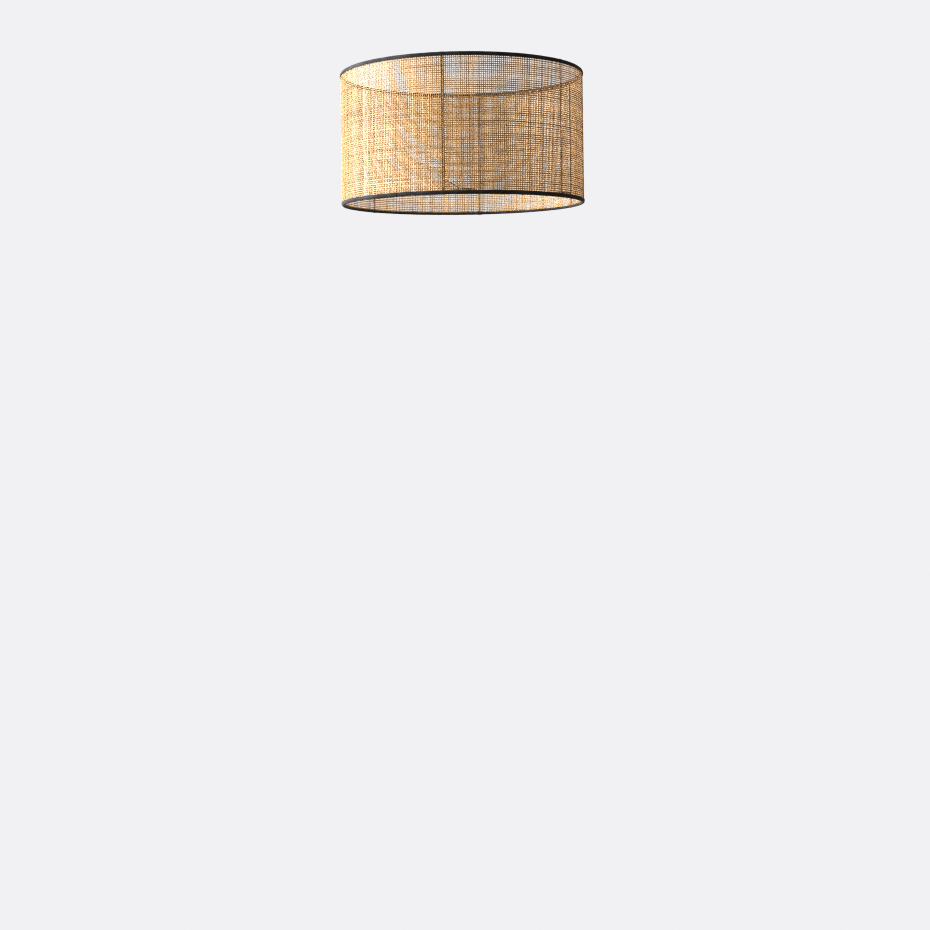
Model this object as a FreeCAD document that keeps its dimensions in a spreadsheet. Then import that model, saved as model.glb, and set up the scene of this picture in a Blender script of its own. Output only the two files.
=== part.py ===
"""Drum lamp shade: woven cover on a wire frame, taped at both rims.

The origin is the centre of the lower rim's underside and +Z points up. Two steel rings and
six uprights make the cage. Three arms carry a flat fitter ring a little above the lower rim.
The woven cover stands round the cage, with a hem folded in over each ring, and a tape is
folded over each rim. Lengths are in millimetres and angles in degrees.
"""
import FreeCAD, Part
import math
import os
import Sketcher

PARTS_FOLDER = "parts"
TOUCHING = 1e-6  # a point this near an axis is put on it

# Driving dimensions: alias, value, meaning.
SIZES = [
    ("outer_diameter", 500.0, "diameter over the rim tapes"),
    ("total_height", 270.0, "height over the rim tapes"),
    ("tape_thickness", 0.8, "thickness of the rim tape, its edges turned under"),
    ("tape_outer_leg", 7.0, "tape height on the outside of the rim"),
    ("tape_inner_leg", 4.2, "tape height on the inside of the rim"),
    ("glue_line", 0.15, "glue film between tape, cover and ring"),
    ("cover_thickness", 1.1, "woven cover, two strands thick"),
    ("hem_leg", 7.4, "height of the folded hem from the rim"),
    ("hem_notch", 5.0, "width of the slit in the hem at an upright"),
    ("ring_wire", 3.0, "wire diameter of the two rings"),
    ("upright_wire", 2.2, "wire diameter of the uprights"),
    ("upright_count", 6.0, "uprights round the cage"),
    ("upright_start", -98.5, "angle of the first upright from +X"),
    ("arm_wire", 3.0, "wire diameter of the fitter arms"),
    ("arm_level", 31.0, "height of the arms' centre line"),
    ("arm_count", 3.0, "arms that carry the fitter ring"),
    ("fitter_bore", 40.5, "hole for the lampholder"),
    ("fitter_diameter", 56.0, "outside of the fitter ring"),
    ("fitter_thickness", 2.0, "thickness of the fitter ring"),
]

# Derived sizes, written as expressions on the sheet.
RING_R = "Sizes.ring_wire / 2"
COVER_IN_R = f"({RING_R} + Sizes.glue_line)"
COVER_OUT_R = f"({COVER_IN_R} + Sizes.cover_thickness)"
TAPE_IN_R = f"({COVER_OUT_R} + Sizes.glue_line)"
TAPE_OUT_R = f"({TAPE_IN_R} + Sizes.tape_thickness)"
CAGE_R = f"(Sizes.outer_diameter / 2 - {TAPE_OUT_R})"
LOW_RING_Z = TAPE_OUT_R
HIGH_RING_Z = f"(Sizes.total_height - {TAPE_OUT_R})"


def make_sheet(doc):
    """Put the driving dimensions in the sheet, one row each, with their meaning beside."""
    sheet = doc.addObject("Spreadsheet::Sheet", "Sizes")
    for row, (alias, value, meaning) in enumerate(SIZES, start=1):
        sheet.set(f"A{row}", alias)
        sheet.set(f"B{row}", str(value))
        sheet.set(f"C{row}", meaning)
        sheet.setAlias(f"B{row}", alias)
    doc.recompute()
    return sheet


def plain(value):
    """Return a quantity's number, or the number itself."""
    return float(getattr(value, "Value", value))


def bind(obj, **expressions):
    """Bind properties to expressions; a double underscore stands for a dot."""
    for name, expression in expressions.items():
        obj.setExpression(name.replace("__", "."), expression)


def origin_feature(body, role):
    """Return the body's own origin plane or axis that has this role."""
    return next(item for item in body.Origin.OriginFeatures if item.Role == role)


def new_body(doc, label):
    """Add an empty body with this label."""
    body = doc.addObject("PartDesign::Body", label)
    body.Label = label
    return body


def new_sketch(body, name, role, level=None):
    """Add a sketch on one of the body's origin planes, raised by an expression if given."""
    sketch = body.newObject("Sketcher::SketchObject", name)
    sketch.AttachmentSupport = [(origin_feature(body, role), "")]
    sketch.MapMode = "FlatFace"
    if level is not None:
        sketch.setExpression("AttachmentOffset.Base.z", level)
    return sketch


def bind_point(sketch, geometry, end, x_expression, y_expression):
    """Hold one end, or the centre, of a sketch edge at a place given by expressions."""
    across, up = ("DistanceX", x_expression, -2), ("DistanceY", y_expression, -1)
    for kind, expression, axis in (across, up):
        if expression is None:
            continue
        start = plain(sketch.Document.Sizes.evalExpression(expression))
        if abs(start) < TOUCHING:
            sketch.addConstraint(Sketcher.Constraint("PointOnObject", geometry, end, axis))
            continue
        index = sketch.addConstraint(Sketcher.Constraint(kind, -1, 1, geometry, end, start))
        sketch.setExpression(f"Constraints[{index}]", expression)


def draw_outline(sketch, corners, arcs):
    """Draw a closed outline through corners given as pairs of expressions.

    arcs maps an edge's number to the level of its centre and its side, 1 for up or -1 for
    down: that edge is a half circle that bulges to that side. Every other edge is straight.
    """
    sheet = sketch.Document.Sizes
    points = []
    for x_expression, y_expression in corners:
        x = plain(sheet.evalExpression(x_expression))
        y = plain(sheet.evalExpression(y_expression))
        points.append(FreeCAD.Vector(x, y, 0))
    count = len(points)
    for edge in range(count):
        first, second = corners[edge], corners[(edge + 1) % count]
        start, stop = points[edge], points[(edge + 1) % count]
        if edge not in arcs:
            sketch.addGeometry(Part.LineSegment(start, stop), False)
            bind_point(sketch, edge, 1, *first)
            bind_point(sketch, edge, 2, *second)
            continue
        level, side = arcs[edge]
        circle = Part.Circle((start + stop) / 2, FreeCAD.Vector(0, 0, 1), start.distanceToPoint(stop) / 2)
        turn = 0 if side > 0 else math.pi
        sketch.addGeometry(Part.ArcOfCircle(circle, turn, turn + math.pi), False)
        if (start.x - stop.x) * side < 0:
            first, second = second, first
        bind_point(sketch, edge, 1, *first)
        bind_point(sketch, edge, 2, second[0], None)
        bind_point(sketch, edge, 3, None, level)


def revolve(body, sketch, angle):
    """Turn a sketch on the body's upright plane about the body's Z axis, by an expression."""
    feature = body.newObject("PartDesign::Revolution", "turned")
    feature.Profile = sketch
    feature.ReferenceAxis = (origin_feature(body, "Z_Axis"), [""])
    feature.setExpression("Angle", angle)
    feature.Refine = False
    body.Tip = feature
    return feature


def repeat_round(body, feature, name, count):
    """Repeat a feature evenly round the body's Z axis."""
    pattern = body.newObject("PartDesign::PolarPattern", name)
    pattern.Originals = [feature]
    pattern.Axis = (origin_feature(body, "Z_Axis"), [""])
    pattern.Angle = 360.0
    pattern.setExpression("Occurrences", count)
    pattern.Refine = False
    body.Tip = pattern
    return pattern


def turn_about_z(obj, expression):
    """Turn a piece about the shade's axis by an angle given as an expression."""
    obj.Placement = FreeCAD.Placement(FreeCAD.Vector(), FreeCAD.Rotation(FreeCAD.Vector(0, 0, 1), 1))
    obj.setExpression("Placement.Rotation.Angle", expression)


def make_ring(doc, label, level):
    """Wire ring inside a rim."""
    ring = doc.addObject("Part::Torus", label)
    ring.Label = label
    bind(ring, Radius1=CAGE_R, Radius2=RING_R, Placement__Base__z=level)
    return ring


def make_upright(doc, number, rings):
    """Vertical wire between the rings, its two ends shaped to the rings' round faces."""
    rod = doc.addObject("Part::Cylinder", f"upright_{number}_rod")
    bind(
        rod,
        Radius="Sizes.upright_wire / 2",
        Height=f"{HIGH_RING_Z} - {LOW_RING_Z}",
        Placement__Base__x=CAGE_R,
        Placement__Base__z=LOW_RING_Z,
    )
    upright = doc.addObject("Part::Cut", f"upright_{number}")
    upright.Label = f"upright_{number}"
    upright.Base = rod
    upright.Tool = rings
    turn_about_z(upright, f"Sizes.upright_start + {number - 1} * 360 / Sizes.upright_count")
    return upright


def make_fitter_ring(doc):
    """Flat ring that the lampholder's collar clamps."""
    body = new_body(doc, "fitter_ring")
    level = "Sizes.arm_level - Sizes.fitter_thickness / 2"
    sketch = new_sketch(body, "fitter_outline", "XY_Plane", level)
    for diameter in ("Sizes.fitter_diameter", "Sizes.fitter_bore"):
        radius = plain(doc.Sizes.evalExpression(diameter)) / 2
        circle = sketch.addGeometry(Part.Circle(FreeCAD.Vector(), FreeCAD.Vector(0, 0, 1), radius))
        sketch.addConstraint(Sketcher.Constraint("Coincident", circle, 3, -1, 1))
        index = sketch.addConstraint(Sketcher.Constraint("Diameter", circle, 2 * radius))
        sketch.setExpression(f"Constraints[{index}]", diameter)
    pad = body.newObject("PartDesign::Pad", "fitter_plate")
    pad.Profile = sketch
    pad.setExpression("Length", "Sizes.fitter_thickness")
    body.Tip = pad
    return body


def make_arm(doc, number):
    """Straight wire from the fitter ring's edge to an upright, at every second one."""
    body = new_body(doc, f"fitter_arm_{number}")
    sketch = new_sketch(body, "arm_section", "YZ_Plane", "Sizes.fitter_diameter / 2")
    radius = plain(doc.Sizes.arm_wire) / 2
    level = plain(doc.Sizes.arm_level)
    centre = FreeCAD.Vector(0, level, 0)
    circle = sketch.addGeometry(Part.Circle(centre, FreeCAD.Vector(0, 0, 1), radius))
    bind_point(sketch, circle, 3, "0", "Sizes.arm_level")
    index = sketch.addConstraint(Sketcher.Constraint("Diameter", circle, 2 * radius))
    sketch.setExpression(f"Constraints[{index}]", "Sizes.arm_wire")
    pad = body.newObject("PartDesign::Pad", "arm_wire")
    pad.Profile = sketch
    pad.setExpression("Length", f"{CAGE_R} - Sizes.upright_wire / 2 - Sizes.fitter_diameter / 2")
    body.Tip = pad
    turn_about_z(body, f"Sizes.upright_start + {number - 1} * 360 / Sizes.arm_count")
    return body


def make_cover(doc):
    """Woven cover: an outer wall with a hem folded in over each ring, slit at the uprights."""
    body = new_body(doc, "woven_cover")
    outside = f"({CAGE_R} + {COVER_OUT_R})"
    inside = f"({CAGE_R} + {COVER_IN_R})"
    hem_outside = f"({CAGE_R} - {COVER_IN_R})"
    hem_inside = f"({CAGE_R} - {COVER_OUT_R})"
    hem_top = "(Sizes.total_height - Sizes.hem_leg)"
    corners = [
        (outside, LOW_RING_Z),
        (outside, HIGH_RING_Z),
        (hem_inside, HIGH_RING_Z),
        (hem_inside, hem_top),
        (hem_outside, hem_top),
        (hem_outside, HIGH_RING_Z),
        (inside, HIGH_RING_Z),
        (inside, LOW_RING_Z),
        (hem_outside, LOW_RING_Z),
        (hem_outside, "Sizes.hem_leg"),
        (hem_inside, "Sizes.hem_leg"),
        (hem_inside, LOW_RING_Z),
    ]
    arcs = {1: (HIGH_RING_Z, 1), 5: (HIGH_RING_Z, 1), 7: (LOW_RING_Z, -1), 11: (LOW_RING_Z, -1)}
    sketch = new_sketch(body, "cover_section", "XZ_Plane")
    draw_outline(sketch, corners, arcs)
    revolve(body, sketch, "360")
    doc.recompute()
    cut_hem_slits(doc, body, "low", "Sizes.tape_inner_leg", hem_outside)
    cut_hem_slits(doc, body, "high", hem_top, hem_outside)
    turn_about_z(body, "Sizes.upright_start")
    return body


def cut_hem_slits(doc, body, name, level, outer_face):
    """Cut one slit through a hem at the first upright and repeat it at the others."""
    before = body.Shape.Volume
    near = f"{outer_face} - 2 * Sizes.cover_thickness"
    far = f"{outer_face} + Sizes.glue_line"
    left, right = "-Sizes.hem_notch / 2", "Sizes.hem_notch / 2"
    sketch = new_sketch(body, f"{name}_slit_outline", "XY_Plane", level)
    draw_outline(sketch, [(near, left), (far, left), (far, right), (near, right)], {})
    pocket = body.newObject("PartDesign::Pocket", f"{name}_slit")
    pocket.Profile = sketch
    pocket.setExpression("Length", "Sizes.hem_leg - Sizes.tape_inner_leg")
    pocket.Reversed = True
    doc.recompute()
    repeat_round(body, pocket, f"{name}_slits", "Sizes.upright_count")
    doc.recompute()
    if body.Shape.Volume >= before:
        raise RuntimeError(f"the {name} hem slits cut nothing")


def corner_steps(fold_radius):
    """Places across a fold that goes round the ring in four even creases, as expressions."""
    crease = f"({fold_radius} * tan(22.5 deg))"
    return {
        "out": f"({CAGE_R} + {fold_radius})",
        "crease_out": f"({CAGE_R} + {crease})",
        "crease_in": f"({CAGE_R} - {crease})",
        "in": f"({CAGE_R} - {fold_radius})",
        "side": f"({LOW_RING_Z} - {crease})",
        "under": f"({LOW_RING_Z} - {fold_radius})",
    }


def fold_corners(steps):
    """Corners of a creased fold, from its outer side round below the ring to its inner side."""
    return [
        (steps["out"], steps["side"]),
        (steps["crease_out"], steps["under"]),
        (steps["crease_in"], steps["under"]),
        (steps["in"], steps["side"]),
    ]


def make_tape(doc, label, upside_down):
    """Rim tape: a channel creased over the hem, longer outside than inside."""
    body = new_body(doc, label)
    outer, inner = corner_steps(TAPE_OUT_R), corner_steps(TAPE_IN_R)
    corners = [
        (outer["out"], "Sizes.tape_outer_leg"),
        (inner["out"], "Sizes.tape_outer_leg"),
        *fold_corners(inner),
        (inner["in"], "Sizes.tape_inner_leg"),
        (outer["in"], "Sizes.tape_inner_leg"),
        *reversed(fold_corners(outer)),
    ]
    sketch = new_sketch(body, "tape_section", "XZ_Plane")
    draw_outline(sketch, corners, {})
    length = revolve(body, sketch, "360 / Sizes.upright_count")
    doc.recompute()
    repeat_round(body, length, "round_the_rim", "Sizes.upright_count")
    if upside_down:
        flip = FreeCAD.Rotation(FreeCAD.Vector(1, 0, 0), 180)
        body.Placement = FreeCAD.Placement(FreeCAD.Vector(0, 0, 1), flip)
        body.setExpression("Placement.Base.z", "Sizes.total_height")
    return body


def build_shade(doc):
    """Make every piece of the shade and return them in the order they are put together."""
    low_ring = make_ring(doc, "bottom_ring", LOW_RING_Z)
    high_ring = make_ring(doc, "top_ring", HIGH_RING_Z)
    rings = doc.addObject("Part::Compound", "ring_pair")
    rings.Links = [low_ring, high_ring]
    uprights = [make_upright(doc, number, rings) for number in range(1, int(doc.Sizes.upright_count) + 1)]
    arms = [make_arm(doc, number) for number in range(1, int(doc.Sizes.arm_count) + 1)]
    tapes = [make_tape(doc, "bottom_tape", False), make_tape(doc, "top_tape", True)]
    return [low_ring, high_ring, *uprights, make_fitter_ring(doc), *arms, make_cover(doc), *tapes]


def check_document(doc, pieces):
    """Stop if any object failed, or if any piece isn't one valid solid."""
    for obj in doc.Objects:
        if "Invalid" in obj.State or "Error" in obj.State:
            raise RuntimeError(f"{obj.Label} failed: {obj.State}")
    for piece in pieces:
        shape = piece.Shape
        if shape.isNull() or not shape.isValid() or len(shape.Solids) != 1:
            raise RuntimeError(f"{piece.Label} isn't one valid solid")


def export_pieces(pieces):
    """Write each piece to its own STEP file and print its volume and heights."""
    os.makedirs(PARTS_FOLDER, exist_ok=True)
    for piece in pieces:
        piece.Shape.exportStep(os.path.join(PARTS_FOLDER, f"{piece.Label}.step"))
        box = piece.Shape.BoundBox
        print(f"{piece.Label:14s} volume {piece.Shape.Volume:10.1f}  z {box.ZMin:7.2f} to {box.ZMax:7.2f}")


document = FreeCAD.newDocument("DrumShade")
make_sheet(document)
shade_pieces = build_shade(document)
document.recompute()
check_document(document, shade_pieces)
export_pieces(shade_pieces)
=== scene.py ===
import math

import bpy
import numpy as np
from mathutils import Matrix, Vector


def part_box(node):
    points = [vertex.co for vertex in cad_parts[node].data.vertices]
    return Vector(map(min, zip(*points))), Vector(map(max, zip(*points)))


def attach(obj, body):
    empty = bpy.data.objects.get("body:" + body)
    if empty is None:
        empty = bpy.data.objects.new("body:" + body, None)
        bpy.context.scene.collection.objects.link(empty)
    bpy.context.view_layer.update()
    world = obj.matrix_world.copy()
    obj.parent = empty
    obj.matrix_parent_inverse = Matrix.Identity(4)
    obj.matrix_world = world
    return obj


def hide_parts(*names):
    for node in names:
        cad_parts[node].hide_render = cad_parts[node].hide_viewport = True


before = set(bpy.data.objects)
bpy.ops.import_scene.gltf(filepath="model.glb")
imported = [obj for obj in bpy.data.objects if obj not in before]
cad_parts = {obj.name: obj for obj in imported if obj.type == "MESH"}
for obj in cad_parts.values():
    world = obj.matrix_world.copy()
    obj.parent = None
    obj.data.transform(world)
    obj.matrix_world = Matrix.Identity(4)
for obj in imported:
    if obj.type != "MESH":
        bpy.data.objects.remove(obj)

bl_info = {
    "name": "Woven Drum Shade",
    "version": (1, 0, 0),
    "blender": (4, 5, 0),
    "location": "3D View > Sidebar > Shade",
    "description": "Makes an open-woven natural-fibre drum shade on its wire cage",
    "category": "Add Mesh",
}

MM = 0.001
COVER_SEED, WEFT_SEED, LOW_TAPE_SEED, HIGH_TAPE_SEED = 58, 271, 7, 11
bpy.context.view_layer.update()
RINGS = ("bottom_ring", "top_ring")
UPRIGHTS = sorted(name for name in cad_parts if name.startswith("upright_"))
ARMS = sorted(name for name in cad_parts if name.startswith("fitter_arm_"))


def ring_measures(node):
    """Radius of a wire ring's centre line, height of that line and radius of the wire."""
    low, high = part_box(node)
    wire = (high.z - low.z) / 2
    return high.x - wire, (high.z + low.z) / 2, wire


def angle_of(node):
    """Angle of a node's middle about the shade's axis, from +X."""
    low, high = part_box(node)
    return math.atan2(high.y + low.y, high.x + low.x)


def half_size(node):
    """Half the size of a node's box along each axis."""
    low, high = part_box(node)
    return (high - low) / 2


RING_RADIUS, LOW_RING_Z, RING_WIRE = ring_measures("bottom_ring")
HIGH_RING_Z = ring_measures("top_ring")[1]
COVER_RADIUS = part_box("woven_cover")[1].x
RIM_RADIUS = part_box("bottom_tape")[1].x
TAPE_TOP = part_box("bottom_tape")[1].z
TOTAL_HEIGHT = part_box("top_tape")[1].z
UPRIGHT_ANGLES = np.array([angle_of(name) for name in UPRIGHTS])
UPRIGHT_WIRE = half_size("upright_1").x
ARM_WIRE = half_size("fitter_arm_1").z
ARM_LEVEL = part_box("fitter_arm_1")[0].z + ARM_WIRE
FITTER_RADIUS = half_size("fitter_ring").x


# Settings


class CoverSettings(bpy.types.PropertyGroup):
    """Sizes and colours of the woven cover."""

    pitch: bpy.props.FloatProperty(
        name="Pitch", description="Distance between strands", default=4.0 * MM, unit="LENGTH"
    )
    width: bpy.props.FloatProperty(
        name="Strand width", description="Mean width of a strand", default=1.5 * MM, unit="LENGTH"
    )
    thickness: bpy.props.FloatProperty(
        name="Strand thickness", description="Thickness of a strand", default=0.55 * MM, unit="LENGTH"
    )
    hem: bpy.props.FloatProperty(
        name="Hem", description="Height of the turned-in hem above the rim", default=7.4 * MM, unit="LENGTH"
    )
    notch: bpy.props.FloatProperty(
        name="Notch", description="Width of the hem's slit at an upright", default=5.0 * MM, unit="LENGTH"
    )
    lap: bpy.props.FloatProperty(
        name="Lap", description="Width of the cover's glued lap", default=7.0 * MM, unit="LENGTH"
    )
    wander: bpy.props.FloatProperty(
        name="Wander", description="How far strands wander sideways", default=0.17 * MM, unit="LENGTH"
    )
    translucency: bpy.props.FloatProperty(
        name="Translucency", description="How much light passes through a strand",
        default=0.25, subtype="FACTOR"
    )
    straw: bpy.props.FloatVectorProperty(
        name="Straw", description="Palest strands", default=(0.72, 0.49, 0.25), subtype="COLOR"
    )
    gold: bpy.props.FloatVectorProperty(
        name="Gold", description="Most strands", default=(0.52, 0.335, 0.13), subtype="COLOR"
    )
    bark: bpy.props.FloatVectorProperty(
        name="Bark", description="Darkest strands", default=(0.25, 0.12, 0.035), subtype="COLOR"
    )


class TapeSettings(bpy.types.PropertyGroup):
    """Sizes and colour of the two rim tapes."""

    thickness: bpy.props.FloatProperty(
        name="Thickness", description="Thickness of the tape", default=0.6 * MM, unit="LENGTH"
    )
    inner_top: bpy.props.FloatProperty(
        name="Inner leg", description="Height of the tape inside the rim", default=4.2 * MM, unit="LENGTH"
    )
    lap: bpy.props.FloatProperty(
        name="Lap", description="Length of the tape's glued lap", default=14.0 * MM, unit="LENGTH"
    )
    low_lap: bpy.props.FloatProperty(
        name="Lower lap", description="Place of the lower tape's lap",
        default=math.radians(-124), unit="ROTATION"
    )
    high_lap: bpy.props.FloatProperty(
        name="Upper lap", description="Place of the upper tape's lap",
        default=math.radians(72), unit="ROTATION"
    )
    colour: bpy.props.FloatVectorProperty(
        name="Colour", description="Colour of the tape", default=(0.050, 0.045, 0.040), subtype="COLOR"
    )


class WireSettings(bpy.types.PropertyGroup):
    """Finish of the wire cage and the fitter."""

    brown: bpy.props.FloatVectorProperty(
        name="Uprights", description="Lacquer on the uprights", default=(0.24, 0.125, 0.04), subtype="COLOR"
    )
    black: bpy.props.FloatVectorProperty(
        name="Rings", description="Lacquer on the rings", default=(0.06, 0.056, 0.052), subtype="COLOR"
    )
    steel: bpy.props.FloatVectorProperty(
        name="Fitter", description="Lacquer on the fitter and its arms",
        default=(0.04, 0.038, 0.036), subtype="COLOR"
    )
    bead: bpy.props.FloatProperty(
        name="Weld bead", description="How far a weld bead reaches along a wire",
        default=1.6 * MM, unit="LENGTH"
    )


class StudioSettings(bpy.types.PropertyGroup):
    """Camera, lights and backdrop."""

    distance: bpy.props.FloatProperty(
        name="Camera distance", description="From the camera to the shade's axis",
        default=2.925, unit="LENGTH"
    )
    camera_drop: bpy.props.FloatProperty(
        name="Camera drop", description="Camera's depth below the lower rim", default=0.253, unit="LENGTH"
    )
    floor_drop: bpy.props.FloatProperty(
        name="Floor drop", description="Floor's depth below the lower rim", default=1.299, unit="LENGTH"
    )
    lens: bpy.props.FloatProperty(
        name="Lens", description="Focal length of the camera in millimetres", default=54.83
    )
    shift: bpy.props.FloatVectorProperty(
        name="Shift", description="Camera's sensor shift, across and up", default=(0.0002, -0.1476), size=2
    )
    roll: bpy.props.FloatProperty(
        name="Roll", description="Camera's roll", default=0.0135, unit="ROTATION"
    )
    backdrop: bpy.props.FloatVectorProperty(
        name="Backdrop", description="Colour of the backdrop and floor",
        default=(0.923, 0.923, 0.934), subtype="COLOR"
    )
    from_left: bpy.props.FloatProperty(
        name="From the left", description="Soft light from the left", default=1.15
    )
    from_front: bpy.props.FloatProperty(
        name="From the front", description="Soft light from the front", default=0.45
    )
    from_behind: bpy.props.FloatProperty(
        name="From behind", description="Soft light from behind", default=1.2
    )
    from_above: bpy.props.FloatProperty(name="From above", description="Soft light from above", default=0.5)
    key: bpy.props.FloatProperty(name="Key", description="Strength of the key light", default=11.3)
    inner_fill: bpy.props.FloatProperty(
        name="Inner fill", description="Strength of the light inside the shade", default=2.8, subtype="POWER"
    )
    contrast: bpy.props.FloatProperty(name="Contrast", description="Contrast of the picture", default=1.6)
    key_tilt: bpy.props.FloatProperty(
        name="Key tilt", description="Key light's turn down from overhead",
        default=math.radians(77), unit="ROTATION"
    )
    key_turn: bpy.props.FloatProperty(
        name="Key turn", description="Key light's turn round from the front",
        default=math.radians(-92), unit="ROTATION"
    )
    key_softness: bpy.props.FloatProperty(
        name="Key softness", description="Angle that the key light fills",
        default=math.radians(50), unit="ROTATION"
    )


# Shared helpers


def link_object(name, data):
    """Put new data in the scene as an object at the origin."""
    piece = bpy.data.objects.new(name, data)
    bpy.context.scene.collection.objects.link(piece)
    return piece


def hand_over(piece, slot, *nodes):
    """Fix a finished piece to the shade's body and hide the nodes whose place it takes. slot is not used."""
    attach(piece, "root")
    if nodes:
        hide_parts(*nodes)


def deselect_all():
    """Start an operator's step with nothing selected."""
    for item in list(bpy.context.selected_objects):
        item.select_set(False)


def blend(first, second, share):
    """Mix two colours. share is the second one's part."""
    return tuple(a * (1 - share) + b * share for a, b in zip(first, second))


def smooth_step(value):
    """Ease from 0 to 1 over that range."""
    value = np.clip(value, 0, 1)
    return value * value * (3 - 2 * value)


def turned(angle):
    """Outward and forward unit vectors at an angle about the shade's axis."""
    level = np.zeros_like(angle)
    outward = np.stack([np.cos(angle), np.sin(angle), level], axis=-1)
    forward = np.stack([-np.sin(angle), np.cos(angle), level], axis=-1)
    return outward, forward


def polar(radius, angle, height):
    """Point at a radius and an angle about the shade's axis."""
    return Vector((radius * math.cos(angle), radius * math.sin(angle), height))


def from_upright(angle):
    """Signed distance along the rim to the nearest upright, and that upright's index."""
    gap = (np.asarray(angle)[..., None] - UPRIGHT_ANGLES + math.pi) % (2 * math.pi) - math.pi
    nearest = np.abs(gap).argmin(axis=-1)
    return np.take_along_axis(gap, nearest[..., None], axis=-1)[..., 0] * RING_RADIUS, nearest


class Shader:
    """A node material and short ways to wire it."""

    def __init__(self, name):
        self.material = bpy.data.materials.new(name)
        self.material.use_nodes = True
        self.tree = self.material.node_tree
        self.surface = self.tree.nodes["Principled BSDF"]
        self.output = self.tree.nodes["Material Output"]

    def node(self, kind, **values):
        made = self.tree.nodes.new(kind)
        for name, value in values.items():
            setattr(made, name, value)
        return made

    def link(self, start, end):
        self.tree.links.new(start, end)

    def coordinates(self):
        return self.node("ShaderNodeTexCoord").outputs["Object"]

    def stretched(self, vector, scale):
        mapping = self.node("ShaderNodeMapping")
        mapping.inputs["Scale"].default_value = scale
        self.link(vector, mapping.inputs["Vector"])
        return mapping.outputs["Vector"]

    def noise(self, vector, scale, detail=3.0):
        """Noise with its own scale along each axis, in waves a metre."""
        made = self.node("ShaderNodeTexNoise")
        made.inputs["Scale"].default_value = 1.0
        made.inputs["Detail"].default_value = detail
        self.link(self.stretched(vector, scale), made.inputs["Vector"])
        return made.outputs["Fac"]

    def bands(self, vector, scale, direction):
        """Even ribs across one axis, in waves a metre."""
        made = self.node("ShaderNodeTexWave", bands_direction=direction)
        made.inputs["Scale"].default_value = scale / 20 * math.pi
        self.link(vector, made.inputs["Vector"])
        return made.outputs["Fac"]

    def spread(self, value, low, high):
        """The middle half of a noise, carried to low..high."""
        made = self.node("ShaderNodeMapRange")
        made.inputs["From Min"].default_value = 0.25
        made.inputs["From Max"].default_value = 0.75
        made.inputs["To Min"].default_value = low
        made.inputs["To Max"].default_value = high
        self.link(value, made.inputs["Value"])
        return made.outputs["Result"]

    def math(self, operation, first, second):
        made = self.node("ShaderNodeMath", operation=operation)
        for socket, value in zip(made.inputs, (first, second)):
            if isinstance(value, float):
                socket.default_value = value
            else:
                self.link(value, socket)
        return made.outputs["Value"]

    def ramp(self, value, stops):
        made = self.node("ShaderNodeValToRGB")
        elements = made.color_ramp.elements
        while len(elements) < len(stops):
            elements.new(0.5)
        for element, (place, colour) in zip(elements, stops):
            element.position = place
            element.color = (*colour, 1.0)
        self.link(value, made.inputs["Fac"])
        return made.outputs["Color"]

    def bump(self, height, strength, distance):
        made = self.node("ShaderNodeBump")
        made.inputs["Strength"].default_value = strength
        made.inputs["Distance"].default_value = distance
        self.link(height, made.inputs["Height"])
        self.link(made.outputs["Normal"], self.surface.inputs["Normal"])

    def paint(self, colour):
        self.link(colour, self.surface.inputs["Base Color"])

    def set(self, **values):
        for name, value in values.items():
            self.surface.inputs[name.replace("_", " ")].default_value = value


# Woven cover


class ClothLine:
    """Line of the cloth across the rims: up inside the lower ring and back over the upper one.

    A place on it is the distance from the lower cut edge. The two rims are alike, so the
    line is worked out from the nearer cut edge and mirrored for the upper half.
    """

    def __init__(self, cover):
        self.fold = COVER_RADIUS - cover.thickness - RING_RADIUS
        self.leg = cover.hem - LOW_RING_Z
        self.hem = self.leg + math.pi * self.fold
        self.length = 2 * self.hem + HIGH_RING_Z - LOW_RING_Z

    def at(self, along):
        """Radius, height and outward normal, as (radial, upward), at places along the line."""
        edge = np.minimum(along, self.length - along)
        turn = np.clip((edge - self.leg) / self.fold, 0, math.pi)
        radius = RING_RADIUS - self.fold * np.cos(turn)
        rise = np.maximum(self.leg - edge, 0) + np.maximum(edge - self.hem, 0)
        height = LOW_RING_Z - self.fold * np.sin(turn) + rise
        upper = along > self.length / 2
        height = np.where(upper, TOTAL_HEIGHT - height, height)
        return radius, height, -np.cos(turn), np.sin(turn) * np.where(upper, 1, -1)


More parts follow.
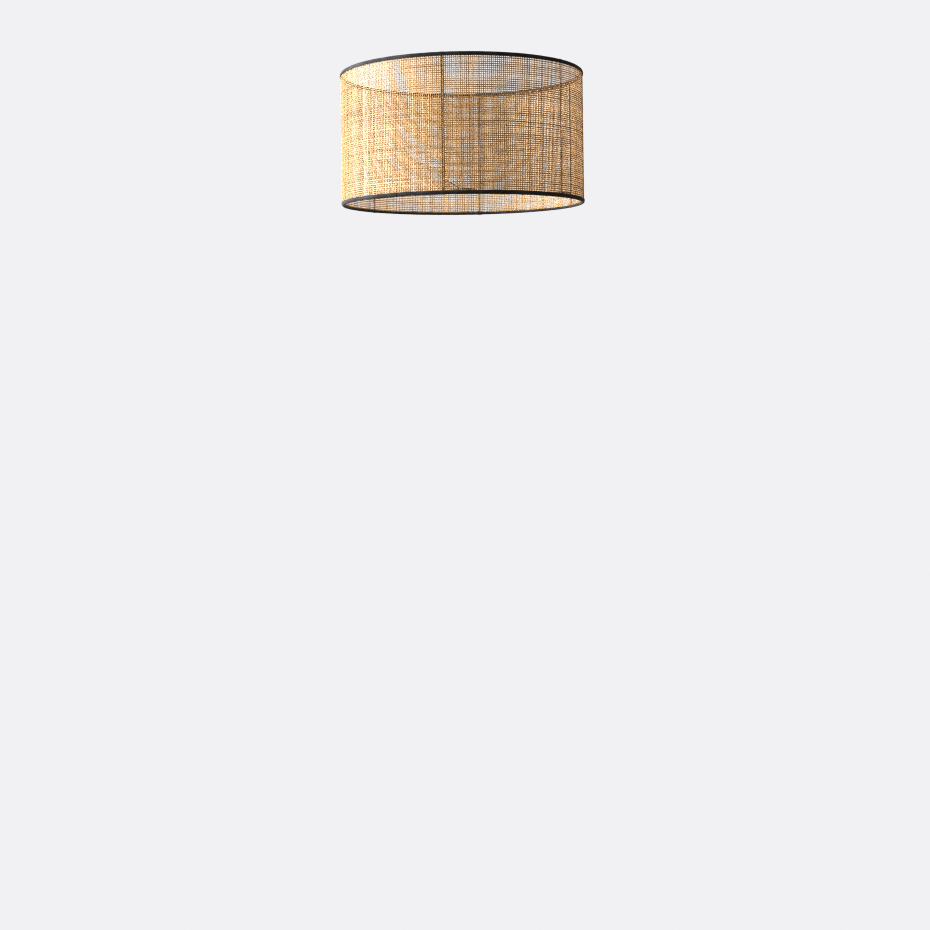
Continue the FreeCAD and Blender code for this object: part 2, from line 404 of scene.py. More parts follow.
class Weave:
    """Plan of the cloth: where warps and wefts lie and how its lap steps in and out."""

    HEM_STEP = 1.15 * MM
    LAP_EASE = 22 * MM
    LAP_OUT = 0.6 * MM
    LAP_IN = 0.45 * MM
    LAP_IN_AT_RING = 0.1 * MM
    SLUB_REACH = 9 * MM
    KNOT_REACH = 2.5 * MM
    HEM_TRIM = (-0.6 * MM, 0.9 * MM)
    LAP_TRIM = (-0.4 * MM, 1.2 * MM)
    # A little over half a strand, so that crossing strands pass each other without touching.
    LIFT = 0.54

    def __init__(self, cover):
        self.cover = cover
        self.random = np.random.RandomState(COVER_SEED)
        self.line = ClothLine(cover)
        self.radius = COVER_RADIUS - cover.thickness
        self.length = 2 * math.pi * self.radius + cover.lap
        self.start = UPRIGHT_ANGLES[0] - cover.lap / 2 / self.radius
        self.warps = self.spaced(self.length)
        self.wefts = self.spaced(self.line.length)
        self.lift = self.LIFT * cover.thickness
        self.phases = self.random.uniform(0, 2 * math.pi, (6, 2))
        self.waves = self.random.uniform(0.02, 0.09, (6, 2))

    def spaced(self, length):
        """Even places over a length, about a pitch apart."""
        count = int(round(length / self.cover.pitch))
        return (np.arange(count) + 0.5) * length / count

    def gathering(self, around, along, way):
        """Wander that neighbouring strands share, so that they gather and part in places."""
        total = 0
        for phase, wave in zip(self.phases, self.waves):
            across = np.sin(2 * math.pi * around / wave[way] + phase[way])
            total = total + across * np.cos(2 * math.pi * along / wave[1 - way] + 2 * phase[way])
        return total * self.cover.wander * 0.4

    def ripple(self, places, count, size):
        """Slow wander of its own for each strand."""
        total = 0
        for wave in (0.31, 0.13, 0.05):
            phase = self.random.uniform(0, 2 * math.pi, (count, 1))
            stretch = self.random.uniform(0.8, 1.25, (count, 1))
            total = total + np.sin(2 * math.pi * places / (wave * stretch) + phase)
        return total * size * 0.8

    def lap_step(self, around, out_r):
        """Radial step of the cloth where its first edge lies inside its last one."""
        first = smooth_step(1 - (around - self.cover.lap) / self.LAP_EASE)
        last = smooth_step(1 - (self.length - self.cover.lap - around) / self.LAP_EASE)
        inward = np.where(out_r > 0.99, self.LAP_IN, self.LAP_IN_AT_RING)
        return last * self.LAP_OUT - first * inward

    def widths(self, places, count):
        """Half widths along each strand, with a few slubs where the fibre is thick."""
        cover = self.cover
        width = cover.width / 2 * np.clip(self.random.normal(1, 0.17, (count, 1)), 0.62, 1.5)
        width = width * (1 + self.ripple(places, count, 0.06))
        slub_at = self.random.uniform(0, places.max(), (count, 1))
        slub = self.random.uniform(-0.1, 0.45, (count, 1)).clip(0)
        return width * (1 + slub * np.exp(-(((places - slub_at) / self.SLUB_REACH) ** 2)))

    def tones(self, count):
        """Natural colour of fibres: most are alike, some are pale and a few are dark."""
        tones = np.clip(self.random.normal(0.52, 0.13, count), 0.2, 0.9)
        dark = self.random.random_sample(count) < 0.1
        pale = self.random.random_sample(count) < 0.1
        tones[dark] = self.random.uniform(0.02, 0.25, dark.sum())
        tones[pale] = self.random.uniform(0.8, 1.0, pale.sum())
        return tones

    def tied_fibres(self, places, count):
        """Tone and thickening along strands that are tied together from shorter fibres."""
        tone = np.zeros_like(places)
        knot = np.zeros_like(places)
        for row in range(count):
            ends = np.cumsum(self.random.uniform(0.22, 0.75, 10)) - self.random.uniform(0, 0.5)
            fibre = np.searchsorted(ends, places[row])
            tone[row] = self.tones(len(ends) + 1)[fibre]
            nearest = np.abs(places[row][:, None] - ends).min(axis=1)
            knot[row] = np.exp(-((nearest / self.KNOT_REACH) ** 2))
        return tone, knot


class Strands:
    """Mesh of flat closed strands, gathered from one or more sets of like strands."""

    # A strand's section: places across its width and through its thickness, going round.
    SECTION = np.array([(1, 0), (0.55, 0.9), (-0.55, 0.9), (-1, 0), (-0.55, -0.9), (0.55, -0.9)])
    GIRTH = 4.2 * MM
    APART = 13 * MM

    def __init__(self):
        self.points, self.loops, self.sizes, self.grain, self.tones = [], [], [], [], []
        self.count = 0
        self.strands = 0

    def add(self, centre, side, normal, half_width, half_thickness, along, tone):
        """Arrays run over strands and then over rings along the strand."""
        strands, rings = centre.shape[:2]
        sides = len(self.SECTION)
        across = side[:, :, None, :] * (half_width[:, :, None] * self.SECTION[:, 0])[..., None]
        through = normal[:, :, None, :] * (half_thickness[:, :, None] * self.SECTION[:, 1])[..., None]
        self.points.append((centre[:, :, None, :] + across + through).reshape(-1, 3))
        self.tones.append(np.repeat(np.broadcast_to(tone, (strands, rings)).ravel(), sides))

        turn = np.arange(sides)
        strand = np.arange(strands)[:, None, None]
        ring = np.arange(rings - 1)[None, :, None]
        corner_rings = np.array([0, 0, 1, 1])
        corner_turns = np.array([0, 1, 1, 0])
        rings_at = (ring + 0 * strand)[..., None] + corner_rings + 0 * turn[:, None]
        turns_at = turn[:, None] + corner_turns + 0 * rings_at
        strands_at = strand[..., None] + 0 * rings_at
        self.loops.append(self.count + ((strands_at * rings + rings_at) * sides + turns_at % sides).ravel())
        self.sizes.append(np.full(rings_at.size // 4, 4))
        self.add_grain(along[strands_at, rings_at], turns_at, strands_at)

        for ring_at, order in ((0, turn[::-1]), (rings - 1, turn)):
            caps = (np.arange(strands)[:, None] * rings + ring_at) * sides + order
            self.loops.append(self.count + caps.ravel())
            self.sizes.append(np.full(strands, sides))
            ends = np.repeat(np.arange(strands)[:, None], sides, axis=1)
            self.add_grain(along[ends, ring_at], np.broadcast_to(order, ends.shape), ends)
        self.count += strands * rings * sides
        self.strands += strands

    def add_grain(self, along, turns, strands):
        """The grain runs along U. V goes round the strand, and each strand has its own stretch."""
        across = turns / len(self.SECTION) * self.GIRTH + (self.strands + strands) * self.APART
        self.grain.append(np.stack([along.ravel(), across.ravel()], axis=-1))

    def build(self, name):
        """One mesh object of all the strands, with its grain and tone."""
        points = np.concatenate(self.points)
        loops = np.concatenate(self.loops)
        sizes = np.concatenate(self.sizes)
        mesh = bpy.data.meshes.new(name)
        mesh.vertices.add(len(points))
        mesh.vertices.foreach_set("co", points.astype(np.float32).ravel())
        mesh.loops.add(len(loops))
        mesh.loops.foreach_set("vertex_index", loops.astype(np.int32))
        mesh.polygons.add(len(sizes))
        mesh.polygons.foreach_set("loop_start", (np.cumsum(sizes) - sizes).astype(np.int32))
        mesh.update(calc_edges=True)
        mesh.polygons.foreach_set("use_smooth", np.ones(len(sizes), bool))
        layer = mesh.uv_layers.new(name="grain")
        layer.data.foreach_set("uv", np.concatenate(self.grain).astype(np.float32).ravel())
        tone = mesh.attributes.new("tone", "FLOAT", "POINT")
        tone.data.foreach_set("value", np.concatenate(self.tones).astype(np.float32))
        return link_object(name, mesh)


def finish_cloth(piece):
    """Give a set of strands, its share of the cloth that was cut and stretched on the rings, the fibre
    material, and fix it to the shade's body in the woven cover's place.
    """
    piece.data.materials.append(bpy.data.materials["fibre"])
    hand_over(piece, "woven_fibre", "woven_cover")


def make_warps(cover):
    """Warps run up the wall and round both hems, and are cut short where an upright needs room."""
    weave = Weave(cover)
    line, random = weave.line, weave.random
    count = len(weave.warps)
    hem_rows = np.arange(0, line.hem, weave.HEM_STEP)
    on_wall = (weave.wefts > line.hem) & (weave.wefts < line.length - line.hem)
    rows = np.concatenate([hem_rows, weave.wefts[on_wall], line.length - hem_rows[::-1]])
    places = np.repeat(rows[None, :], count, axis=0)

    notch = np.abs(from_upright(weave.start + weave.warps / weave.radius)[0]) < cover.notch / 2
    cut = np.where(notch, line.leg + 0.3 * line.fold, 0)
    hems = len(hem_rows)
    for edge in range(2):
        trim = (cut + random.uniform(*weave.HEM_TRIM, count) * ~notch)[:, None]
        part = slice(0, hems) if edge == 0 else slice(-hems, None)
        depth = np.minimum(places[:, part], line.length - places[:, part])
        depth = trim + depth * (line.hem - trim) / line.hem
        places[:, part] = depth if edge == 0 else line.length - depth

    radius, height, out_r, out_z = line.at(places)
    parity = 1 - 2 * (np.arange(count)[:, None] % 2)
    pitch = weave.wefts[1] - weave.wefts[0]
    wave = np.cos(math.pi * (places - weave.wefts[0]) / pitch) * parity
    around = weave.warps[:, None] + random.normal(0, cover.wander * 0.55, (count, 1))
    around = around + weave.ripple(places, count, cover.wander * 0.3)
    around = around + weave.gathering(weave.warps[:, None], places, 0)
    outward, forward = turned(weave.start + around / weave.radius)
    up = np.array([0, 0, 1.0])
    normal = outward * out_r[..., None] + up * out_z[..., None]
    radius = radius + weave.lap_step(weave.warps[:, None], out_r)
    centre = outward * radius[..., None] + up * height[..., None] + normal * (weave.lift * wave)[..., None]
    half_width = weave.widths(places, count)
    half_thickness = np.full_like(places, cover.thickness / 2) * random.uniform(0.85, 1.05, (count, 1))
    along = places + random.uniform(0, 5, (count, 1))
    tone = weave.tones(count)[:, None]

    for number, group in enumerate(np.array_split(np.arange(count), 3), start=1):
        strands = Strands()
        strands.add(
            centre[group], -forward[group], normal[group],
            half_width[group], half_thickness[group], along[group], tone[group],
        )
        finish_cloth(strands.build(f"warp_strands_{number}"))


def make_wefts(cover):
    """Wefts run round the shade. The outermost one of each hem is cut at every upright."""
    weave = Weave(cover)
    weave.random.seed(WEFT_SEED)
    line, random = weave.line, weave.random
    around = np.concatenate([[0.0], weave.warps, [weave.length]])
    count = len(weave.wefts)
    middle = np.arange(1, count - 1)

    def strand_set(index, places):
        """Everything that a set of wefts is made from. places are distances round the shade."""
        rows = weave.wefts[index][:, None]
        size = len(index)
        along = rows + random.normal(0, cover.wander * 0.5, (size, 1))
        along = along + weave.ripple(places, size, cover.wander * 0.4) + weave.gathering(places, rows, 1)
        radius, height, out_r, out_z = line.at(along)
        pitch = weave.warps[1] - weave.warps[0]
        wave = -np.cos(math.pi * (places - weave.warps[0]) / pitch) * (1 - 2 * (index[:, None] % 2))
        outward = turned(weave.start + places / weave.radius)[0]
        up = np.array([0, 0, 1.0])
        normal = outward * out_r[..., None] + up * out_z[..., None]
        side = up * out_r[..., None] - outward * out_z[..., None]
        radius = radius + weave.lap_step(places, out_r)
        lifted = normal * (weave.lift * wave)[..., None]
        centre = outward * radius[..., None] + up * height[..., None] + lifted
        half_width = weave.widths(places, size)
        half_thickness = np.full_like(places, cover.thickness / 2) * random.uniform(0.85, 1.05, (size, 1))
        fibre = places + random.uniform(0, 5, (size, 1))
        tone, knot = weave.tied_fibres(places, size)
        return centre, side, normal, half_width * (1 + 0.35 * knot), half_thickness, fibre, tone

    places = np.repeat(around[None, :], len(middle), axis=0)
    places[:, 0] -= random.uniform(*weave.LAP_TRIM, len(middle))
    places[:, -1] += random.uniform(*weave.LAP_TRIM, len(middle))
    long_strands = strand_set(middle, places)

    gaps = np.sort((UPRIGHT_ANGLES - weave.start) % (2 * math.pi))
    ends = np.append(gaps, gaps[0] + 2 * math.pi) * weave.radius
    steps = int(round((ends[1] - ends[0]) / cover.pitch))
    room = cover.notch / 2 + 0.4 * MM
    hem_places = np.stack([np.linspace(a + room, b - room, steps) for a, b in zip(ends, ends[1:])])
    hem_strands = [strand_set(np.full(len(hem_places), edge), hem_places) for edge in (0, count - 1)]

    halves = np.array_split(np.arange(len(middle)), 2)
    for number, (group, hem_set) in enumerate(zip(halves, hem_strands), start=1):
        strands = Strands()
        strands.add(*(values[group] for values in long_strands))
        strands.add(*hem_set)
        finish_cloth(strands.build(f"weft_strands_{number}"))


def fibre_material(cover):
    """Flat natural fibre: grain along each strand, and a colour of its own for each."""
    shader = Shader("fibre")
    grain = shader.node("ShaderNodeUVMap", uv_map="grain").outputs["UV"]
    tone = shader.node("ShaderNodeAttribute", attribute_name="tone").outputs["Fac"]
    streaks = shader.noise(grain, (35, 2600, 1), 3.0)
    stains = shader.noise(grain, (14, 160, 1), 2.0)
    mixed = shader.math("ADD", tone, shader.spread(stains, -0.17, 0.17))
    mixed = shader.math("ADD", mixed, shader.spread(streaks, -0.13, 0.13))
    brown = blend(cover.bark, cover.gold, 0.62)
    colour = shader.ramp(mixed, [(0.0, cover.bark), (0.32, brown), (0.6, cover.gold), (1.0, cover.straw)])
    shader.paint(colour)
    shader.link(shader.spread(streaks, 0.42, 0.68), shader.surface.inputs["Roughness"])
    shader.bump(streaks, 0.4, 0.12 * MM)
    shader.set(Specular_IOR_Level=0.8, Sheen_Weight=0.2, Sheen_Roughness=0.4)

    # Thin fibre lets some of the light through.
    through = shader.node("ShaderNodeBsdfTranslucent")
    shader.link(colour, through.inputs["Color"])
    mix = shader.node("ShaderNodeMixShader")
    mix.inputs["Fac"].default_value = cover.translucency
    shader.link(shader.surface.outputs["BSDF"], mix.inputs[1])
    shader.link(through.outputs["BSDF"], mix.inputs[2])
    shader.link(mix.outputs["Shader"], shader.output.inputs["Surface"])


# Rim tapes

STEPS_ROUND = 480
TAPE_LEG = 4.8 * MM
TAPE_EASE = 9 * MM
TAPE_RISE = 0.75 * MM
FOOT_REACH = 4.5 * MM
SWOLLEN_FOOT = "upright_4"


def closed_tube_faces(rings, sides):
    """Faces of a tube through rings of points, and of its two ends."""
    first = np.arange(rings - 1)[:, None] * sides
    turn = np.arange(sides)
    after = (turn + 1) % sides
    corners = [first + turn, first + after, first + sides + after, first + sides + turn]
    faces = np.stack(corners, axis=-1).reshape(-1, 4)
    caps = [list(reversed(range(sides))), [(rings - 1) * sides + side for side in range(sides)]]
    return faces.tolist() + caps


def tape_piece(name, points, along, across):
    """Mesh object through a tape's sections. Its UV map is the place along and across the cloth."""
    rings, sides = points.shape[:2]
    mesh = bpy.data.meshes.new(name)
    mesh.from_pydata(points.reshape(-1, 3).tolist(), [], closed_tube_faces(rings, sides))
    layer = mesh.uv_layers.new(name="cloth")
    vertex = np.zeros(len(mesh.loops), np.int32)
    mesh.loops.foreach_get("vertex_index", vertex)
    uv = np.stack([along[vertex // sides], across[vertex % sides]], axis=-1)
    layer.data.foreach_set("uv", uv.astype(np.float32).ravel())
    mesh.polygons.foreach_set("use_smooth", np.ones(len(mesh.polygons), bool))
    piece = link_object(name, mesh)
    deselect_all()
    piece.select_set(True)
    bpy.context.view_layer.objects.active = piece
    bpy.ops.object.mode_set(mode="EDIT")
    bpy.ops.mesh.select_all(action="SELECT")
    bpy.ops.mesh.normals_make_consistent(inside=False)
    bpy.ops.object.mode_set(mode="OBJECT")
    bpy.ops.object.shade_smooth_by_angle(angle=math.radians(50))
    piece.data.materials.append(bpy.data.materials["tape_cloth"])
    return piece


def make_tape(name, tape, lap_at, flip, seed):
    """One woven tape folded over a rim and glued, its end lapped over its start.

    It is worked out on the lower rim, and turned over for the upper one. Returns the piece
    and the width and length that it was cut to.
    """
    random = np.random.RandomState(seed)
    fold = RIM_RADIUS - tape.thickness / 2 - RING_RADIUS
    turns = np.linspace(0, 1, STEPS_ROUND + 1)
    angle = lap_at + turns * (2 * math.pi + tape.lap / RIM_RADIUS)
    distance = turns * (2 * math.pi * RIM_RADIUS + tape.lap)

    def wander(size, waves):
        """Slow rise and fall along the tape."""
        total = sum(
            np.sin(2 * math.pi * distance / wave + random.uniform(0, 2 * math.pi)) for wave in waves
        )
        return total * size / math.sqrt(len(waves))

    from_foot, nearest = from_upright(angle)
    swollen = 1.0 if flip else 1.7
    weight = np.where(nearest == UPRIGHTS.index(SWOLLEN_FOOT), swollen, 1.0)
    foot = weight * np.exp(-((from_foot / FOOT_REACH) ** 2))
    lapped = smooth_step((distance - distance[-1] + tape.lap + TAPE_EASE) / TAPE_EASE) * TAPE_RISE
    outer_top = TAPE_TOP + wander(0.22 * MM, (0.21, 0.083, 0.037)) + 0.4 * lapped
    inner_top = tape.inner_top + wander(0.2 * MM, (0.17, 0.071, 0.031)) + 0.9 * MM * foot
    swell = 0.12 * MM + wander(0.1 * MM, (0.12, 0.043, 0.019)) + 0.45 * MM * foot

    # Across the tape: 0 to 1 up the outer leg from its edge, 1 to 2 round the fold, 2 to 3 inside.
    stations = np.concatenate([np.linspace(0, 1, 5)[:-1], np.linspace(1, 2, 15), np.linspace(2, 3, 3)[1:]])
    turn = np.clip(stations - 1, 0, 1) * math.pi
    leg_out = np.clip(1 - stations, 0, 1)
    leg_in = np.clip(stations - 2, 0, 1)
    rise = leg_out * (outer_top - LOW_RING_Z)[:, None] + leg_in * (inner_top - LOW_RING_Z)[:, None]

    def surface(offset):
        """Radius and height of the tape's face at an offset from its middle, over angle and then station."""
        reach = fold + offset + lapped[:, None] + swell[:, None] * np.sin(np.pi * stations / 3)
        height = LOW_RING_Z - reach * np.sin(turn) * (turn > 0) * (turn < math.pi) + rise
        return RING_RADIUS + reach * np.cos(turn), height

    outer, inner = surface(tape.thickness / 2), surface(-tape.thickness / 2)
    radius = np.concatenate([outer[0], inner[0][:, ::-1]], axis=1)
    height = np.concatenate([outer[1], inner[1][:, ::-1]], axis=1)
    if flip:
        height = TOTAL_HEIGHT - height
    level = [radius * np.cos(angle)[:, None], radius * np.sin(angle)[:, None]]
    across = np.concatenate([stations, stations[::-1]]) * TAPE_LEG
    piece = tape_piece(name, np.stack([*level, height], axis=-1), distance, across)
    cut = (outer_top - LOW_RING_Z).mean() + math.pi * fold + (inner_top - LOW_RING_Z).mean()
    return piece, (float(cut), float(distance[-1]))


def tape_material(tape):
    """Black cotton tape: fine ribs across it, rubbed paler in patches here and there."""
    shader = Shader("tape_cloth")
    cloth = shader.node("ShaderNodeUVMap", uv_map="cloth").outputs["UV"]
    ribs = shader.bands(cloth, 1100, "X")
    threads = shader.bands(cloth, 1500, "Y")
    weave = shader.math("MULTIPLY", ribs, threads)
    fluff = shader.noise(cloth, (420, 900, 1), 4.0)
    rubbed = shader.noise(shader.coordinates(), (28, 28, 60), 3.0)
    level = shader.math("ADD", shader.spread(rubbed, 0.0, 0.55), shader.spread(fluff, 0.0, 0.3))
    level = shader.math("ADD", level, shader.math("MULTIPLY", weave, 0.15))
    dark = blend((0, 0, 0), tape.colour, 0.6)
    pale = tuple(2.6 * part for part in tape.colour)
    shader.paint(shader.ramp(level, [(0.0, dark), (0.5, tape.colour), (1.0, pale)]))
    shader.link(shader.spread(fluff, 0.72, 0.95), shader.surface.inputs["Roughness"])
    shader.bump(shader.math("ADD", weave, fluff), 0.5, 0.15 * MM)
    shader.set(Sheen_Weight=0.08, Sheen_Roughness=0.5, Specular_IOR_Level=0.25)


# Wire cage and fitter


def lacquer_material(name, colour, scale, roughness):
    """Brushed-on lacquer over drawn wire: pooled darker in places and thin in others."""
    shader = Shader(name)
    place = shader.coordinates()
    pooled = shader.noise(place, (scale, scale, scale * 0.6), 3.0)
    grit = shader.noise(place, (2400, 2400, 2400), 2.0)
    level = shader.math("ADD", shader.spread(pooled, 0.15, 0.75), shader.spread(grit, 0.0, 0.25))
    dark = blend((0, 0, 0), colour, 0.5)
    pale = tuple(min(1.0, 1.55 * part) for part in colour)
    shader.paint(shader.ramp(level, [(0.0, dark), (0.5, tuple(colour)), (1.0, pale)]))
    shader.link(shader.spread(pooled, roughness - 0.08, roughness + 0.14), shader.surface.inputs["Roughness"])
    shader.bump(shader.math("ADD", pooled, grit), 0.25, 0.1 * MM)
    shader.set(Coat_Weight=0.25, Coat_Roughness=0.3)
    return shader.material


def give_finish(nodes, material):
    """Put a material on CAD nodes that are shown as they are."""
    for name in nodes:
        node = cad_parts[name]
        for slot in node.material_slots:
            slot.material = material


BEAD_GIRTH = 1.45
BEAD_ROUGHNESS = 0.12


def weld_bead(place, axis, wire, reach, seed):
    """An uneven collar of weld round a wire's end. axis runs along the wire."""
    deselect_all()
    bpy.ops.mesh.primitive_uv_sphere_add(segments=20, ring_count=12, radius=1.0, location=(0, 0, 0))
    bead = bpy.context.object
    bpy.ops.object.mode_set(mode="EDIT")
    bpy.ops.mesh.select_all(action="SELECT")
    bpy.ops.transform.resize(value=(wire * BEAD_GIRTH, wire * BEAD_GIRTH, reach))
    bpy.ops.transform.vertex_random(offset=wire * BEAD_ROUGHNESS, uniform=0.3, normal=0.6, seed=seed)
    bpy.ops.mesh.vertices_smooth(factor=0.5, repeat=1)
    bpy.ops.object.mode_set(mode="OBJECT")
    bead.rotation_mode = "QUATERNION"
    bead.rotation_quaternion = axis.to_track_quat("Z", "Y")
    bead.location = place
    bpy.ops.object.transform_apply(location=True, rotation=True, scale=True)
    return bead


def join_beads(name, beads, material, finish):
    """Make one piece of all the beads on like joints."""
    deselect_all()
    for bead in beads:
        bead.select_set(True)
    bpy.context.view_layer.objects.active = beads[0]
    bpy.ops.object.join()
    piece = bpy.context.object
    piece.name = name
    bpy.ops.object.transform_apply(location=True, rotation=True, scale=True)
    bpy.ops.object.shade_smooth_by_angle(angle=math.radians(60))
    piece.data.materials.append(bpy.data.materials[material])
    hand_over(piece, finish)


# Studio

SENSOR_WIDTH = 36.0
CLIP_END = 100.0
FLOOR_SIZE = 40.0
DOME_RADIUS = 19.0
KEY_COLOUR = (0.94, 1.0, 1.14)
FILL_COLOUR = (0.86, 0.98, 1.12)
FILL_RADIUS = 80 * MM
# The weave is about as fine as a denoiser's grain, and a denoiser would smear it.
DENOISING = False
FILTER_WIDTH = 1.2


def make_camera(studio):
    """Level camera in front of the shade, looking at it from below its lower rim."""
    data = bpy.data.cameras.new("camera")
    data.lens = studio.lens
    data.sensor_width = SENSOR_WIDTH
    data.shift_x, data.shift_y = studio.shift
    data.clip_end = CLIP_END
    camera = link_object("camera", data)
    camera.location = (0, -studio.distance, -studio.camera_drop)
    camera.rotation_euler = (math.pi / 2, studio.roll, 0)
    bpy.context.scene.camera = camera


def make_world(studio):
    """Soft light from all round: strong from the left and behind, weak from the front."""
    world = bpy.data.worlds.new("studio")
    world.use_nodes = True
    tree = world.node_tree
    background = tree.nodes["Background"]
    background.inputs["Color"].default_value = (1.0, 1.0, 1.0, 1.0)
    direction = tree.nodes.new("ShaderNodeTexCoord")
    axes = tree.nodes.new("ShaderNodeSeparateXYZ")
    tree.links.new(direction.outputs["Generated"], axes.inputs["Vector"])
    total = None
    for axis, start, end, low, high in (
        ("X", 0.3, -1.0, 0.0, studio.from_left),
        ("Y", 0.3, 1.0, studio.from_front, studio.from_behind),
        ("Z", 0.0, 1.0, 0.0, studio.from_above),
    ):
        part = tree.nodes.new("ShaderNodeMapRange")
        part.interpolation_type = "SMOOTHSTEP"
        for name, value in (("From Min", start), ("From Max", end), ("To Min", low), ("To Max", high)):
            part.inputs[name].default_value = value
        tree.links.new(axes.outputs[axis], part.inputs["Value"])
        if total is None:
            total = part.outputs["Result"]
        else:
            add = tree.nodes.new("ShaderNodeMath")
            tree.links.new(total, add.inputs[0])
            tree.links.new(part.outputs["Result"], add.inputs[1])
            total = add.outputs["Value"]
    tree.links.new(total, background.inputs["Strength"])
    bpy.context.scene.world = world


def make_key(studio):
    """Strong side light, which comes from the left and a little from above."""
    data = bpy.data.lights.new("key", "SUN")
    data.energy = studio.key
    data.color = KEY_COLOUR
    data.angle = studio.key_softness
    light = link_object("key", data)
    light.rotation_euler = (studio.key_tilt, 0, studio.key_turn)


def make_inner_fill(studio):
    """A weak round light on the axis, which opens up the inside of the far wall."""
    data = bpy.data.lights.new("inner_fill", "POINT")
    data.energy = studio.inner_fill
    data.color = FILL_COLOUR
    data.shadow_soft_size = FILL_RADIUS
    light = link_object("inner_fill", data)
    light.location = (0, 0, TOTAL_HEIGHT / 2)
    light.visible_camera = False


def make_backdrop(studio):
    """Pale floor and the pale dome behind it. They are seen, and the world gives the light."""
    material = bpy.data.materials.new("backdrop")
    material.use_nodes = True
    surface = material.node_tree.nodes["Principled BSDF"]
    surface.inputs["Base Color"].default_value = (0, 0, 0, 1)
    surface.inputs["Specular IOR Level"].default_value = 0.0
    surface.inputs["Emission Color"].default_value = (*studio.backdrop, 1.0)
    surface.inputs["Emission Strength"].default_value = 1.0
    deselect_all()
    bpy.ops.mesh.primitive_plane_add(size=FLOOR_SIZE, location=(0, 0, -studio.floor_drop))
    floor = bpy.context.object
    floor.name = "studio_floor"
    bpy.ops.mesh.primitive_uv_sphere_add(segments=48, ring_count=24, radius=DOME_RADIUS, location=(0, 0, 0))
    dome = bpy.context.object
    dome.name = "studio_dome"
    for item in (floor, dome):
        item.data.materials.append(material)
        item.visible_diffuse = False
        item.visible_glossy = False
        item.visible_transmission = False
        item.visible_shadow = False


# Operators


class SHADE_OT_studio(bpy.types.Operator):
    """Set up the camera, the lights and the pale floor"""

    bl_idname = "shade.studio"
    bl_label = "Studio"

    def execute(self, context):
        studio = context.scene.shade_studio
        context.scene.view_settings.view_transform = "Standard"
        context.scene.view_settings.gamma = 1 / studio.contrast
        context.scene.cycles.use_denoising = DENOISING
        context.scene.cycles.filter_width = FILTER_WIDTH
        make_camera(studio)
        make_world(studio)
        make_key(studio)
        make_inner_fill(studio)
        make_backdrop(studio)
        return {"FINISHED"}


class SHADE_OT_warps(bpy.types.Operator):
    """Lay the upright strands of the cover, turned in round both rings"""

    bl_idname = "shade.warps"
    bl_label = "Warp strands"

    def execute(self, context):
        cover = context.scene.shade_cover
        fibre_material(cover)
        make_warps(cover)
        return {"FINISHED"}


class SHADE_OT_wefts(bpy.types.Operator):
    """Weave the level strands of the cover over and under the upright ones"""

    bl_idname = "shade.wefts"
    bl_label = "Weft strands"

    def execute(self, context):
        make_wefts(context.scene.shade_cover)
        return {"FINISHED"}


class SHADE_OT_tapes(bpy.types.Operator):
    """Fold the black tapes over both rims"""

    bl_idname = "shade.tapes"
    bl_label = "Rim tapes"

    def execute(self, context):
        tape = context.scene.shade_tape
        tape_material(tape)
        for node, ring, lap_at, seed in (
            ("bottom_tape", "bottom_ring", tape.low_lap, LOW_TAPE_SEED),
            ("top_tape", "top_ring", tape.high_lap, HIGH_TAPE_SEED),
        ):
            piece, flat = make_tape(node + "_folded", tape, lap_at, node == "top_tape", seed)
            hand_over(piece, "rim_tape", node)
        return {"FINISHED"}


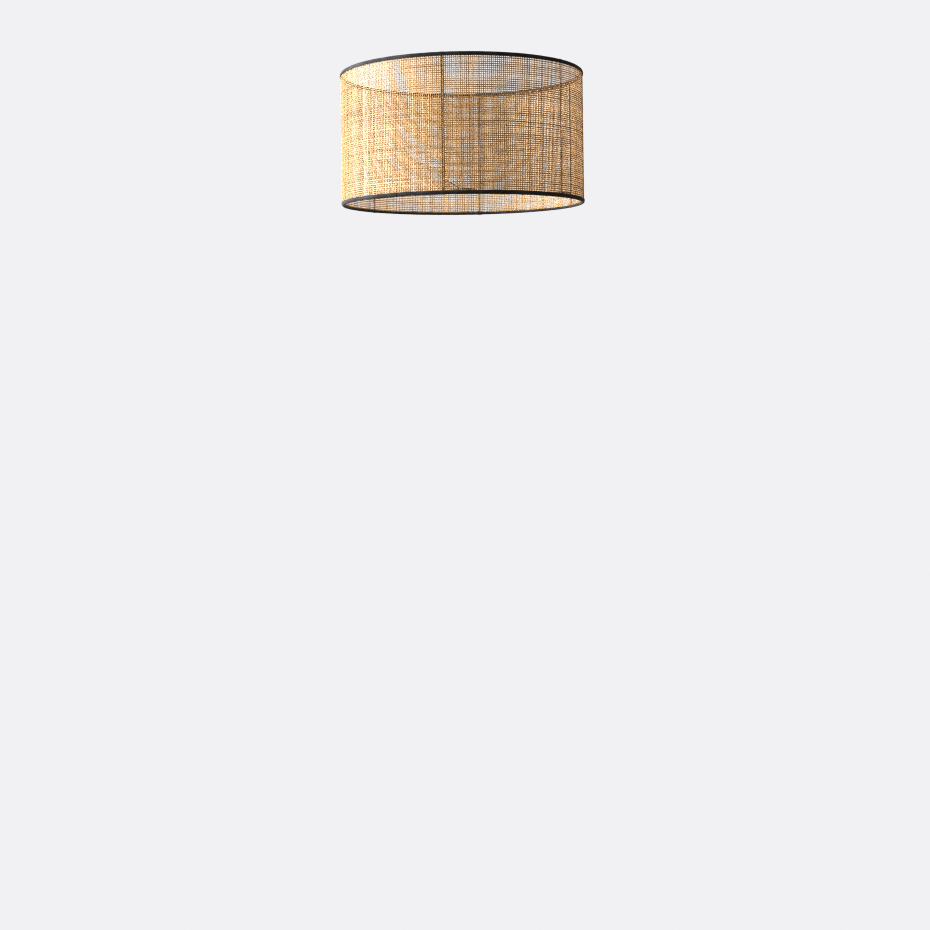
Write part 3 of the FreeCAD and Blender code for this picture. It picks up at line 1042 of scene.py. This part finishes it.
class SHADE_OT_cage(bpy.types.Operator):
    """Lacquer the rings and uprights and add their welds"""

    bl_idname = "shade.cage"
    bl_label = "Wire cage"

    def execute(self, context):
        wire = context.scene.shade_wire
        brown = lacquer_material("brown_lacquer", wire.brown, scale=60, roughness=0.36)
        black = lacquer_material("black_lacquer", wire.black, scale=60, roughness=0.42)
        give_finish(UPRIGHTS, brown)
        give_finish(RINGS, black)
        beads = []
        for angle in UPRIGHT_ANGLES:
            for height in (LOW_RING_Z + RING_WIRE, HIGH_RING_Z - RING_WIRE):
                place = polar(RING_RADIUS, angle, height)
                beads.append(weld_bead(place, Vector((0, 0, 1)), UPRIGHT_WIRE, wire.bead, len(beads)))
        join_beads("upright_welds", beads, "brown_lacquer", "brown_wire")
        return {"FINISHED"}


class SHADE_OT_fitter(bpy.types.Operator):
    """Lacquer the fitter ring and its arms and add their welds"""

    bl_idname = "shade.fitter"
    bl_label = "Fitter"

    def execute(self, context):
        wire = context.scene.shade_wire
        grey = lacquer_material("grey_lacquer", wire.steel, scale=45, roughness=0.45)
        give_finish(["fitter_ring", *ARMS], grey)
        beads = []
        for angle in UPRIGHT_ANGLES[::2]:
            for radius in (FITTER_RADIUS, RING_RADIUS - UPRIGHT_WIRE):
                place, along = polar(radius, angle, ARM_LEVEL), polar(1, angle, 0)
                beads.append(weld_bead(place, along, ARM_WIRE, wire.bead, len(beads)))
        join_beads("arm_welds", beads, "grey_lacquer", "fitter_steel")
        return {"FINISHED"}


class SHADE_PT_panel(bpy.types.Panel):
    """Lists the steps in the order in which they are taken"""

    bl_idname = "SHADE_PT_panel"
    bl_label = "Woven Drum Shade"
    bl_space_type = "VIEW_3D"
    bl_region_type = "UI"
    bl_category = "Shade"

    def draw(self, context):
        for step in STEPS:
            self.layout.operator(step.bl_idname)


STEPS = (SHADE_OT_studio, SHADE_OT_warps, SHADE_OT_wefts, SHADE_OT_tapes, SHADE_OT_cage, SHADE_OT_fitter)
SETTINGS = {
    "shade_cover": CoverSettings,
    "shade_tape": TapeSettings,
    "shade_wire": WireSettings,
    "shade_studio": StudioSettings,
}


def register():
    for name, settings in SETTINGS.items():
        bpy.utils.register_class(settings)
        setattr(bpy.types.Scene, name, bpy.props.PointerProperty(type=settings))
    for item in (*STEPS, SHADE_PT_panel):
        bpy.utils.register_class(item)


def unregister():
    for item in (SHADE_PT_panel, *reversed(STEPS)):
        bpy.utils.unregister_class(item)
    for name, settings in reversed(SETTINGS.items()):
        delattr(bpy.types.Scene, name)
        bpy.utils.unregister_class(settings)


def main():
    register()
    for step in STEPS:
        group, name = step.bl_idname.split(".")
        getattr(getattr(bpy.ops, group), name)()


if __name__ == "__main__":
    main()
